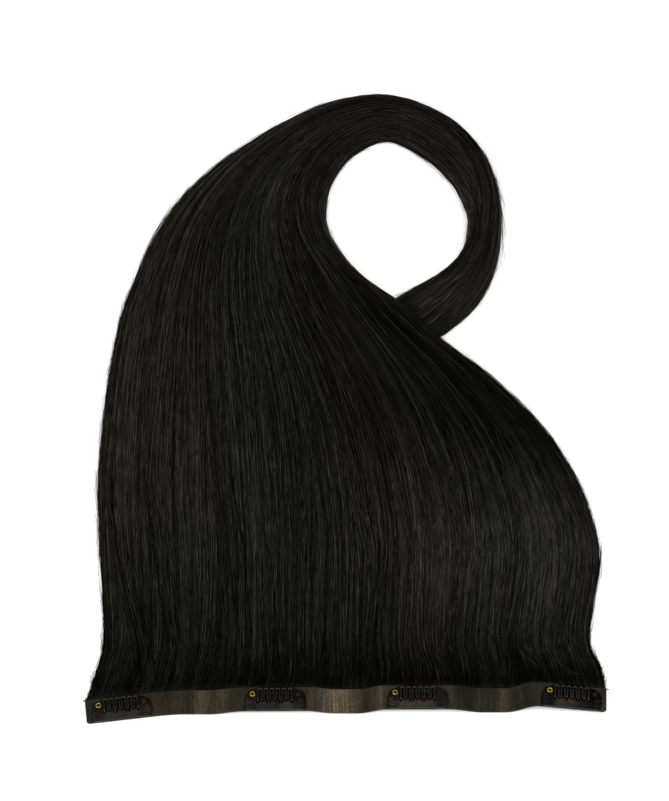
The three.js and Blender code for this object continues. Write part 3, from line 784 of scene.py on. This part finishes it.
def strand_piece(name, strands, material):
    """One mesh of thin closed strands, each a row of points in millimetres with a radius."""
    paths, radii, tones, warmth = strands
    count, points = paths.shape[:2]
    ahead = unit(np.gradient(paths, axis=1))
    sideways = unit(np.cross(ahead, np.array([0.0, 0.0, 1.0])))
    upwards = np.cross(sideways, ahead)
    angles = np.arange(STRAND_SIDES) * 2 * math.pi / STRAND_SIDES + math.pi / 2
    ring = (
        sideways[:, :, None] * np.cos(angles)[None, None, :, None]
        + upwards[:, :, None] * np.sin(angles)[None, None, :, None]
    )
    verts = paths[:, :, None] + ring * radii[:, :, None, None]
    verts = ((verts + ORIGIN) * MM).reshape(-1, 3)
    corner = np.arange(STRAND_SIDES)
    following = (corner + 1) % STRAND_SIDES
    step = np.arange(points - 1)[:, None] * STRAND_SIDES
    walls = [step + corner, step + STRAND_SIDES + corner, step + STRAND_SIDES + following, step + following]
    walls = np.stack(walls, -1).reshape(-1, 4)
    first = np.arange(count)[:, None, None] * points * STRAND_SIDES
    walls = (walls[None] + first).reshape(-1, 4)
    start = (corner[None] + first[:, 0]).reshape(-1, STRAND_SIDES)
    end = (corner[::-1][None] + first[:, 0] + (points - 1) * STRAND_SIDES).reshape(-1, STRAND_SIDES)
    loops = np.concatenate([walls.ravel(), start.ravel(), end.ravel()])
    sizes = np.concatenate([np.full(len(walls), 4), np.full(len(start) + len(end), STRAND_SIDES)])
    mesh = bpy.data.meshes.new(name)
    mesh.vertices.add(len(verts))
    mesh.vertices.foreach_set("co", verts.ravel())
    mesh.loops.add(len(loops))
    mesh.loops.foreach_set("vertex_index", loops)
    mesh.polygons.add(len(sizes))
    mesh.polygons.foreach_set("loop_start", np.concatenate([[0], np.cumsum(sizes)[:-1]]))
    mesh.update(calc_edges=True)
    mesh.validate()
    steps = np.linalg.norm(np.diff(paths, axis=1), axis=-1)
    run = np.concatenate([np.zeros((count, 1)), np.cumsum(steps, axis=1)], axis=1)
    run = run + RUN_APART * np.arange(count)[:, None]
    for attribute, values in (("tone", tones), ("warmth", warmth), ("run", run)):
        made = mesh.attributes.new(attribute, "FLOAT", "POINT")
        spread = np.repeat(np.broadcast_to(values, (count, points)).ravel(), STRAND_SIDES)
        made.data.foreach_set("value", spread.astype(np.float32))
    mesh.shade_smooth()
    mesh.materials.append(material)
    piece = add_object(name, mesh)
    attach(piece, "weft")


def strand_colour(rng, row, share):
    """Tone and warmth along strands: clumps of like tone, painted shade where locks part, painted glints
    along each strand, and broad painted light and shade.
    """
    clumps = value_noise(41, 24, 4, row, share)
    narrow = value_noise(42, 110, 9, row, share)
    own = rng.normal(0, 0.24, len(row))[:, None]
    bright = (rng.uniform(0, 1, len(row)) > 0.96)[:, None] * 0.25
    # Painted glints: each strand's tone rises and falls along its length.
    glint = 0.12 * np.sin(rng.uniform(1.5, 4.0, len(row))[:, None] * row + 30 * own)
    # The lock relief term paints shade into the partings and light onto the ridges.
    tones = 0.495 + 0.04 * clumps + 0.05 * narrow + own + bright + glint + 0.07 * lock_relief(row, share)
    # Broad painted light and shade, added to each strand's tone.
    for middle, across, long, wide, strength in HAIR_PAINTED_LIGHT_AND_SHADE:
        away = ((row - middle) / long) ** 2 + ((share - across) / wide) ** 2
        tones = tones + strength * np.exp(-away)
    warmth = 0.2 + 0.24 * value_noise(43, 9, 3, row, share) + rng.normal(0, 0.22, len(row))[:, None]
    left_edge = np.exp(-(((share - 0.05) / 0.16) ** 2)) * smooth_step(4, 6.5, row)
    warmth = warmth + 0.36 * smooth_step(11, 18, row) + 0.5 * left_edge
    return np.clip(tones, 0, 1), np.clip(warmth, 0, 1)


def surface_strands(seed, count, points, first_rows, last_rows, tuck_start):
    """Strands that lie on the locks, from a row near first_rows to one near last_rows."""
    rng = np.random.default_rng(seed)
    share = 0.5 + ((np.arange(count) + rng.uniform(0, 1, count)) / count - 0.5) * 0.994
    start = rng.uniform(*first_rows, count)
    end = rng.uniform(*last_rows, count)
    along = np.linspace(0, 1, points)[None]
    row = start[:, None] + (end - start)[:, None] * along
    waves = rng.uniform(0.6, 2.2, count)[:, None]
    phase = rng.uniform(0, 2 * math.pi, count)[:, None]
    drift = rng.normal(0, 0.005, count)[:, None] * np.sin(waves * math.pi * along + phase)
    weave = rng.normal(0, 0.0014, count)[:, None] * np.sin(4 * waves * math.pi * along + 2 * phase)
    across = np.clip(share[:, None] + drift + weave, 0.001, 0.999)
    ease = smooth_step(0, 0.06, along) if tuck_start else smooth_step(0, 0.7, row)
    ease = ease * (1 - smooth_step(0.93, 1.0, along))
    loft = rng.gamma(1.6, 0.11, count)[:, None]
    paths = hair_surface(row, across, -STRAND_SINK + (0.55 + loft) * ease)
    radii = rng.uniform(0.07, 0.155, count)[:, None] * (0.35 + 0.65 * ease) * np.ones_like(row)
    return paths, radii, *strand_colour(rng, row, across)


def lock_strands(seed, locks, points):
    """Locks that peel out of the flow and lie slantwise over it."""
    rng = np.random.default_rng(seed)
    along = np.linspace(0, 1, points)[None]
    made = []
    for first, last, begin, finish, wide_begin, wide_finish, arch, count, light in locks:
        place = rng.uniform(-1, 1, count)[:, None]
        begins = first + rng.uniform(0, 1.8, count)[:, None]
        ends = last + rng.uniform(-1.4, 0.6, count)[:, None]
        row = begins + (ends - begins) * along
        travel = smooth_step(0, 1, (row - first) / (last - first))
        width = wide_begin + (wide_finish - wide_begin) * travel
        share = begin + (finish - begin) * travel + place * width
        share = np.clip(share + rng.normal(0, 0.003, count)[:, None], 0.002, 0.998)
        ease = smooth_step(0, 0.12, along) * (1 - smooth_step(0.86, 1, along))
        loft = arch * np.sqrt(np.clip(1 - place**2, 0, 1)) * rng.uniform(0.5, 1, count)[:, None]
        paths = hair_surface(row, share, -STRAND_SINK + (0.65 + loft) * ease)
        radii = rng.uniform(0.08, 0.16, count)[:, None] * (0.35 + 0.65 * ease)
        tones, warmth = strand_colour(rng, row, share)
        # Strands near a lock's edges get painted shade; light is how much lighter the whole lock is.
        tones = np.clip(tones + light - 0.25 * place**2, 0, 1)
        made.append((paths, np.broadcast_to(radii, row.shape), tones, warmth))
    return [np.concatenate(parts) for parts in zip(*made)]


def fuzz_strands(seed, count, points):
    """Short ends that stand off the hair's two edges, and a few longer ones."""
    rng = np.random.default_rng(seed)
    along = np.linspace(0, 1, points)[None]
    left = rng.uniform(0, 1, count) < 0.52
    start = rng.uniform(0.2, LAST_ROW - 3.0, count)
    near_root = rng.uniform(0, 1, count) < 0.16
    start = np.where(near_root, rng.uniform(0.0, 2.6, count), start)
    length = rng.uniform(0.25, 1.1, count) + rng.gamma(1.2, 0.28, count)
    turned = rng.uniform(0, 1, count) < 0.3
    row = start[:, None] + np.where(turned, -length, length)[:, None] * along
    row = np.clip(row, 0.02, LAST_ROW - 0.5)
    share = np.where(left, 0.0, 1.0)[:, None] * np.ones_like(row)
    point, _ = hair_section(row, share)
    values = row_values(row)
    reach = rng.gamma(1.7, 0.38, count)[:, None]
    bend = rng.uniform(1.1, 2.6, count)[:, None]
    away = -0.35 + (0.35 + reach) * along**bend
    sides = np.where(left, 1.0, -1.0)[:, None, None]
    point = point + outward_at(row, True) * sides * away[..., None]
    thickness = np.clip(values[..., THICK] * HAIR_THICKNESS, 0.6, 4.0)
    point[..., 2] += rng.uniform(0.1, 0.75, count)[:, None] * thickness
    radii = rng.uniform(0.07, 0.13, count)[:, None] * (1 - 0.45 * along)
    tones = rng.uniform(0.0, 0.45, count)[:, None]
    return point, radii, tones, rng.uniform(0.2, 0.9, count)[:, None]


def stray_strands(seed, count, points):
    """Single strands that wander across the flow."""
    rng = np.random.default_rng(seed)
    along = np.linspace(0, 1, points)[None]
    start = rng.uniform(0.8, LAST_ROW - 9.0, count)[:, None]
    row = start + rng.uniform(2.0, 6.5, count)[:, None] * along
    share = rng.uniform(0.06, 0.94, count)[:, None]
    share = share + rng.normal(0, 0.07, count)[:, None] * (along - 0.5)
    share = np.clip(share + rng.normal(0, 0.012, count)[:, None] * np.sin(math.pi * along), 0.02, 0.98)
    rise = smooth_step(0, 0.1, along) * (1 - smooth_step(0.9, 1, along))
    paths = hair_surface(row, share, -0.5 + (0.9 + rng.uniform(0, 0.9, count)[:, None]) * rise)
    radii = rng.uniform(0.05, 0.085, count)[:, None] * np.ones_like(row)
    tones = rng.uniform(0.6, 1.0, count)[:, None]
    return paths, radii, tones, rng.uniform(0.3, 1.0, count)[:, None]


def hair_strands(material):
    for number, seed in enumerate((101, 102), 1):
        fall = surface_strands(seed, FALL_STRANDS, FALL_POINTS, (0.0, 0.04), (7.0, 12.0), False)
        strand_piece(f"fall_strands_{number}", fall, material)
    for number, seed in enumerate((201, 202), 1):
        loop = surface_strands(seed, LOOP_STRANDS, LOOP_POINTS, (6.0, 9.5), (24.6, 25.6), True)
        strand_piece(f"loop_strands_{number}", loop, material)
    strand_piece("fall_locks", lock_strands(301, FALL_LOCKS, 20), material)
    strand_piece("loop_locks", lock_strands(302, LOOP_LOCKS, 26), material)
    strand_piece("edge_fuzz", fuzz_strands(401, FUZZ_STRANDS, 9), material)
    strand_piece("stray_strands", stray_strands(402, STRAY_STRANDS, 22), material)


# Weft band


def weft_band(material):
    def place(along, around):
        x = -HALF + along * BAND_LENGTH
        sideways, up = rounded_box(around, BAND_HEIGHT, BAND_THICKNESS, BAND_ROUND)
        from_end = HALF - np.abs(x)
        cut = np.clip(BAND_CORNER - from_end, 0, None)
        narrow = 1 - cut / (BAND_HEIGHT / 2)
        return band_point(x, sideways * narrow, BAND_THICKNESS / 2 + up)

    bm = bmesh.new()
    bm.loops.layers.uv.new("strip")
    sleeve(bm, 480, 24, place)
    mesh = new_mesh("band_skin", bm)
    places = np.zeros(len(mesh.vertices) * 3)
    mesh.vertices.foreach_get("co", places)
    along = places[::3] / MM - ORIGIN[0]
    # Painted sheen along the band, from the table of places.
    painted_sheen = sum(s * np.exp(-(((along - x) / (0.7 * half)) ** 2)) for x, half, s in BAND_PAINTED_SHEEN)
    mesh.attributes.new("painted_sheen", "FLOAT", "POINT").data.foreach_set("value", painted_sheen.astype(np.float32))
    piece = finish_piece("band_skin", mesh, material, "weft")
    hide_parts("weft_band")
    piece.modifiers.new("even_shading", "WEIGHTED_NORMAL").keep_sharp = False


# Clips


class ClipPlace:
    """A clip's own axes: x along its bar, y from the bar's lower edge to the tips, z outwards."""

    def __init__(self, joint):
        along = Vector(joint["axis"]).normalized()
        across = Vector((-along.y, along.x, 0)).normalized()
        out = along.cross(across)
        hinge = Vector(joint["pos_m"]) / MM - Vector(ORIGIN)
        start = hinge - across * HINGE_LINE - out * HINGE_RISE
        self.axes = np.array([along, across, out])
        self.start = np.array(start)

    def flat(self, local):
        """Points in the band's frame, straight from the clip's own axes."""
        return self.start + local @ self.axes

    def local(self, points):
        return (points - self.start) @ self.axes.T

    def __call__(self, x, y, z):
        """Points in the band's frame, with the clip's crease put in."""
        x, y, z = np.broadcast_arrays(
            np.asarray(x, float), np.asarray(y, float), np.asarray(z, float)
        )
        z = z + CREASE_RISE * (1 - np.abs(x) / CLIP_HALF)
        return self.flat(np.stack([x, y, z], -1))


PITCH = (COMB_WIDTH + PRONG_GAP) / PRONG_COUNT
TIP_RADIUS = (PITCH - PRONG_GAP - WIRE_WIDTH) / 2
BEND_RADIUS = (PRONG_GAP + WIRE_WIDTH) / 2
TIP_LINE = COMB_HEIGHT - TIP_RADIUS - WIRE_WIDTH / 2
BEND_LINE = COMB_HEIGHT - PRONG_REACH + BEND_RADIUS + WIRE_WIDTH / 2


def prong_x(index):
    return (index - (PRONG_COUNT - 1) / 2) * PITCH


def comb_path():
    """The middle of the comb's ribbon, up and down through every prong."""
    path = [(prong_x(0) - TIP_RADIUS, FOOT_LINE)]

    def leg(x, up):
        heights = np.linspace(BEND_LINE, TIP_LINE, 8)[1:-1]
        path.extend((x, y) for y in (heights if up else heights[::-1]))

    def arc(x, y, radius, start, end):
        for angle in np.linspace(start, end, 11):
            path.append((x + radius * math.cos(angle), y + radius * math.sin(angle)))

    for index in range(PRONG_COUNT):
        x = prong_x(index)
        if index == 0:
            path.append((x - TIP_RADIUS, BEND_LINE))
        leg(x - TIP_RADIUS, True)
        arc(x, TIP_LINE, TIP_RADIUS, math.pi, 0)
        leg(x + TIP_RADIUS, False)
        if index < PRONG_COUNT - 1:
            arc(x + PITCH / 2, BEND_LINE, BEND_RADIUS, math.pi, 2 * math.pi)
    path.append((prong_x(PRONG_COUNT - 1) + TIP_RADIUS, BEND_LINE))
    path.append((prong_x(PRONG_COUNT - 1) + TIP_RADIUS, FOOT_LINE))
    return np.array(path)


def bow(y):
    """How far the comb stands out at this height, over the strip behind its tips."""
    rise = smooth_step(FOOT_LINE, TIP_LINE - TIP_RADIUS, y)
    droop = smooth_step(TIP_LINE, COMB_HEIGHT, y)
    return PRONG_BOW * (rise - droop / 3)


def ribbon(bm, clip, path, width):
    """Adds a flat wire with rounded edges along a path in the clip's plane."""
    ahead = unit(np.gradient(path, axis=0))
    aside = np.stack([-ahead[:, 1], ahead[:, 0]], -1)
    count = len(path) - 1

    def place(along, around):
        index = np.rint(along * count).astype(int)
        sideways, up = rounded_box(around, width, SHEET, WIRE_ROUND)
        point = path[index] + aside[index] * sideways[:, None]
        return clip(point[:, 0], point[:, 1], 1.5 * SHEET + up + bow(point[:, 1]))

    sleeve(bm, count, 12, place)


def mark_places(bm, clip):
    """UVs from each place's distance off the clip's middle and its height, and a mark on the lower layer's
    faces for the paint's painted shade.
    """
    uv = bm.loops.layers.uv.new("places")
    under = bm.faces.layers.float.new("under")
    for face in bm.faces:
        corners = np.array([loop.vert.co[:] for loop in face.loops]) / MM - ORIGIN
        local = clip.local(corners)
        face[under] = float(local[:, 2].mean() < LOWER_LAYER_TOP + crease_rise(local[:, 0].mean()))
        for loop, (x, y, _) in zip(face.loops, local):
            loop[uv].uv = (abs(x) / CLIP_HALF, y / COMB_HEIGHT)


def clip_comb(number, clip, material):
    bm = bmesh.new()
    ribbon(bm, clip, comb_path(), WIRE_WIDTH)
    for index in range(1, PRONG_COUNT - 1, 2):
        x = prong_x(index) + PITCH / 2
        heights = np.linspace(FOOT_LINE, BEND_LINE - BEND_RADIUS, 4)
        ribbon(bm, clip, np.stack([np.full(4, x), heights], -1), STEM_WIDTH)
    mark_places(bm, clip)
    mesh = new_mesh(f"clip_{number}_prongs", bm)
    piece = finish_piece(f"clip_{number}_prongs", mesh, material, f"comb_{number}")
    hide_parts(f"clip_{number}_comb")


def crease_rise(x):
    return CREASE_RISE * (1 - abs(x) / CLIP_HALF)


def hole_places():
    for side, out, up, run, climb in SEWING_HOLES:
        yield side, side * (INNER + out * SIDE_WIDTH), up * SIDE_HEIGHT, run, climb


def clip_frame(number, clip, material):
    """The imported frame's own shape with eased edges, and a pressed rim round each sewing hole."""
    bm = bmesh.new()
    bm.from_mesh(frame["nodes"][f"clip_{number}_frame"].data)
    bmesh.ops.remove_doubles(bm, verts=bm.verts, dist=2e-6)
    bmesh.ops.dissolve_limit(bm, angle_limit=math.radians(0.8), verts=bm.verts, edges=bm.edges)
    sharp = [e for e in bm.edges if len(e.link_faces) == 2 and e.calc_face_angle(0) > 0.5]
    curve = {"segments": 2, "profile": 0.5, "affect": "EDGES", "material": -1}
    bmesh.ops.bevel(bm, geom=sharp, offset=EASED_EDGE * MM, clamp_overlap=True, **curve)
    mark_places(bm, clip)
    for _, x, y, _, _ in hole_places():
        spun_ring(bm, RIM_PROFILE, 20, clip, x, y, 2 * SHEET + crease_rise(x))
    mesh = bpy.data.meshes.new(f"clip_{number}_plate")
    bm.to_mesh(mesh)
    bm.free()
    piece = finish_piece(f"clip_{number}_plate", mesh, material, "weft")
    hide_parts(f"clip_{number}_frame")
    piece.modifiers.new("even_shading", "WEIGHTED_NORMAL").keep_sharp = False


def clip_shade_sheet(number, clip, material):
    """A thin black sheet behind the prongs: painted shade, standing in for the shadow on the band under the
    comb.
    """
    bm = bmesh.new()
    bm.loops.layers.uv.new("cloth")
    made = bmesh.ops.create_grid(bm, x_segments=24, y_segments=8, size=0.5, calc_uvs=True)
    for vert in made["verts"]:
        x, share = vert.co.x * 2 * (INNER - 0.15), vert.co.y + 0.5
        y = FOOT_LINE - 0.9 + share * (COMB_HEIGHT - 1.6 - FOOT_LINE)
        vert.co = Vector(clip(x, y, -0.02) + ORIGIN) * MM
    mesh = new_mesh(f"clip_{number}_shade_sheet", bm)
    piece = finish_piece(f"clip_{number}_shade_sheet", mesh, material, "weft")
    thick = piece.modifiers.new("thickness", "SOLIDIFY")
    thick.thickness, thick.offset = SHADE_SHEET_THICKNESS * MM, 0


def clip_eyelet(number, clip, material):
    """A rolled brass ring spun about its own axis."""
    top = 2 * SHEET + SEAT_GAP + EYELET_FLANGE_HEIGHT
    low = 2 * SHEET + 0.03
    bore, flange = EYELET_BORE_RADIUS, EYELET_FLANGE_RADIUS
    profile = [(bore, 0.0), (bore, top - 0.6), (bore + 0.14, top - 0.36), (bore + 0.26, top - 0.1)]
    profile += [(bore + 0.4, top), (flange - 0.24, top - 0.07), (flange - 0.08, top - 0.21)]
    profile += [(flange, top - 0.36), (flange - 0.02, low), (bore + 0.16, low), (bore + 0.16, 0.0)]
    bm = bmesh.new()
    spun_ring(bm, profile, 28, clip, EYELET_X, EYELET_HEIGHT, crease_rise(EYELET_X))
    mesh = new_mesh(f"clip_{number}_ring", bm)
    piece = finish_piece(f"clip_{number}_ring", mesh, material, "weft")
    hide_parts(f"clip_{number}_eyelet")


def clip_stitches(number, clip, material):
    """Thread from each sewing hole over the plate's edge into the band, and a dark plug in the eyelet's
    bore as painted shade.
    """
    bm = bmesh.new()
    bm.loops.layers.uv.new("thread")
    for side, x, y, run, climb in hole_places():
        stops = np.array(
            [
                (x - side * 0.25, y - climb * 0.1, 0.3),
                (x - side * 0.1, y, 1.0),
                (x + side * 0.35, y + climb * 0.15, 1.28),
                (x + side * run * 0.6, y + climb * 0.6, 1.2),
                (x + side * run * 0.92, y + climb * 0.92, 0.75),
                (x + side * run, y + climb, 0.1),
                (x + side * run, y + climb, -SEAT_GAP - 0.25),
            ]
        )
        fine = np.linspace(0, len(stops) - 1, 19)
        path = np.stack([np.interp(fine, np.arange(len(stops)), stops[:, k]) for k in range(3)], -1)
        path[1:-1] = (path[:-2] + 2 * path[1:-1] + path[2:]) / 4
        ahead = unit(np.gradient(path, axis=0))
        aside = unit(np.cross(ahead, np.array([0.05, 1.0, 0.02])))
        above = np.cross(aside, ahead)

        def place(along, around, path=path, aside=aside, above=above):
            index = np.rint(along * (len(path) - 1)).astype(int)
            angle = around[:, None] * 2 * math.pi
            ring = aside[index] * np.cos(angle) + above[index] * np.sin(angle)
            point = path[index] + THREAD_RADIUS * ring
            return clip(point[:, 0], point[:, 1], point[:, 2])

        sleeve(bm, len(path) - 1, 6, place)
    # A dark plug in the eyelet's bore, in the thread's colour: painted shade in the hole.
    bore_shade_plug = bmesh.ops.create_cone(
        bm,
        cap_ends=True,
        segments=16,
        radius1=EYELET_BORE_RADIUS - 0.04,
        radius2=EYELET_BORE_RADIUS + 0.12,
        depth=1.2,
    )
    middle = np.array([EYELET_X, EYELET_HEIGHT, 0.85 + crease_rise(EYELET_X)])
    for vert in bore_shade_plug["verts"]:
        local = np.array(vert.co[:]) + middle
        vert.co = (clip.flat(local) + ORIGIN) * MM
    mesh = new_mesh(f"clip_{number}_stitches", bm)
    finish_piece(f"clip_{number}_stitches", mesh, material, "weft")


# Scene


def set_camera():
    camera = add_object("camera", bpy.data.cameras.new("camera"))
    back = Vector((0, -math.cos(CAMERA_ELEVATION), math.sin(CAMERA_ELEVATION)))
    camera.location = CAMERA_TARGET + back * CAMERA_DISTANCE
    camera.rotation_mode = "QUATERNION"
    camera.rotation_quaternion = (-back).to_track_quat("-Z", "Y")
    camera.data.lens = CAMERA_LENS
    camera.data.sensor_width = SENSOR
    camera.data.clip_start, camera.data.clip_end = 0.05, 20
    bpy.context.scene.camera = camera


def area_light(name, place, aim, size, power, colour):
    light = bpy.data.lights.new(name, "AREA")
    light.shape, light.size, light.size_y = "RECTANGLE", size[0], size[1]
    light.energy, light.color = power, colour
    lamp = add_object(name, light)
    lamp.location = place
    lamp.rotation_mode = "QUATERNION"
    lamp.rotation_quaternion = (Vector(aim) - Vector(place)).to_track_quat("-Z", "Y")


def set_studio():
    bm = bmesh.new()
    bmesh.ops.create_grid(bm, x_segments=4, y_segments=4, size=3.0)
    bmesh.ops.translate(bm, verts=bm.verts, vec=(0, 0, -FLOOR_DROP * MM))
    floor = add_object("floor", new_mesh("floor", bm))
    floor.data.materials.append(floor_finish())
    world = bpy.data.worlds.new("studio")
    world.use_nodes = True
    world.node_tree.nodes["Background"].inputs["Color"].default_value = (1, 1, 0.96, 1)
    world.node_tree.nodes["Background"].inputs["Strength"].default_value = 0.09
    bpy.context.scene.world = world
    warm = (1, 0.985, 0.96)
    area_light("key", (-0.6, -0.7, 1.6), (0, 0, 0), (1.4, 1.4), 31, warm)
    area_light("fill", (0.9, -0.4, 1.5), (0, 0, 0), (1.0, 1.0), 18, warm)
    area_light("left_strip", (-0.3, 0.6, 1.5), (0, -0.1, 0), (0.26, 0.5), 0.75, (1, 0.92, 0.87))
    area_light("right_strip", (0.3, 0.6, 1.5), (0, -0.1, 0), (0.24, 0.5), 0.75, (1, 0.92, 0.87))
    area_light("far", (0.1, 1.3, 1.3), (0, 0, 0), (1.2, 0.3), 0.8, warm)
    bpy.context.scene.view_settings.view_transform = "Standard"


set_camera()
set_studio()
hair_mass(hair_body_finish())
hair_strands(hair_strand_finish())
weft_band(urethane_finish())
plate_paint, prong_paint = clip_paint_finish(), prong_finish()
brass, thread, cloth = brass_finish(), thread_finish(), shade_sheet_finish()
for number, joint in enumerate(frame["joints"], 1):
    clip = ClipPlace(joint)
    clip_frame(number, clip, plate_paint)
    clip_comb(number, clip, prong_paint)
    clip_eyelet(number, clip, brass)
    # A black sheet behind the prongs, as painted shade.
    clip_shade_sheet(number, clip, cloth)
    clip_stitches(number, clip, thread)
